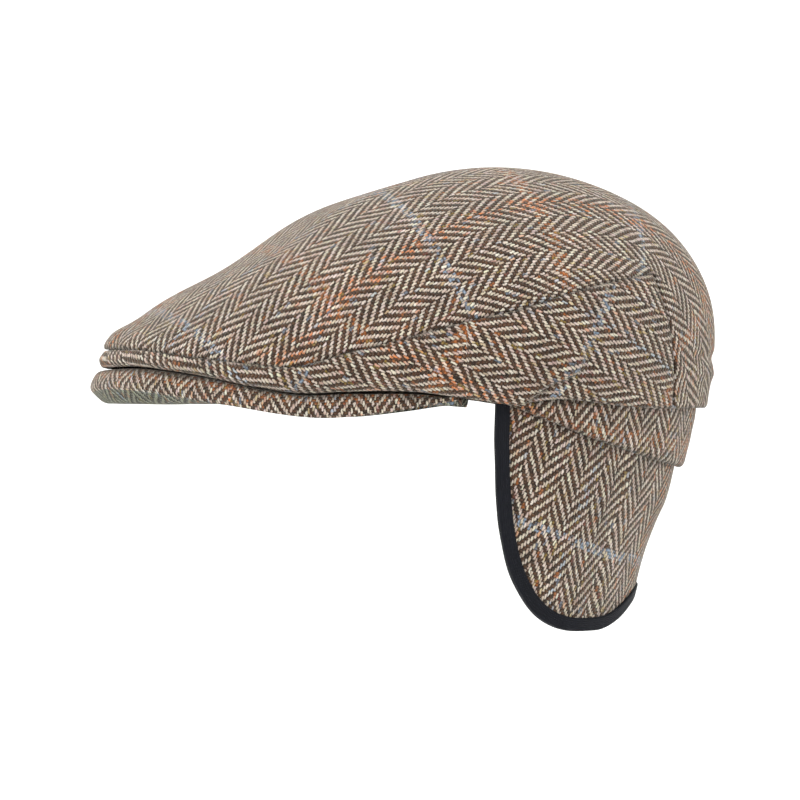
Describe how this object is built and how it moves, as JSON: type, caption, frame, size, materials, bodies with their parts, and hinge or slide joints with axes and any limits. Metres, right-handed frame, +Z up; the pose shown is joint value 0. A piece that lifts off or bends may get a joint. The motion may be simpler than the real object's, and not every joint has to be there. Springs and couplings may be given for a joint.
{
  "type": "earflap flat cap",
  "caption": "Herringbone wool tweed flat cap with a stiff peak, side panels, neck band and a fold-down ear and neck flap bound in navy tape.",
  "frame": {"origin": "middle of the head oval in the plane of the crown's rim, where the cap sits on the head", "axes": "+Z up; the peak points to -Y and the wearer's left side is +X"},
  "size_m": [0.1798, 0.2735, 0.1986],
  "materials": {
    "crown_top_tweed": "brown and cream herringbone wool tweed, matt with a light fuzz",
    "crown_side_tweed": "brown and cream herringbone wool tweed, matt",
    "peak_tweed": "brown and cream herringbone wool tweed over a stiff board, matt",
    "band_tweed": "brown and cream herringbone wool tweed folded double, matt",
    "flap_tweed": "brown and cream herringbone wool tweed, matt",
    "navy_tape": "navy braid tape, matt with fine lengthwise ribs"
  },
  "bodies": {
    "root": {"crown_top": "crown_top_tweed", "crown_side_left": "crown_side_tweed", "crown_side_right": "crown_side_tweed", "peak": "peak_tweed", "neck_band": "band_tweed", "ear_flap": "flap_tweed", "flap_binding": "navy_tape"}
  },
  "joints": []
}
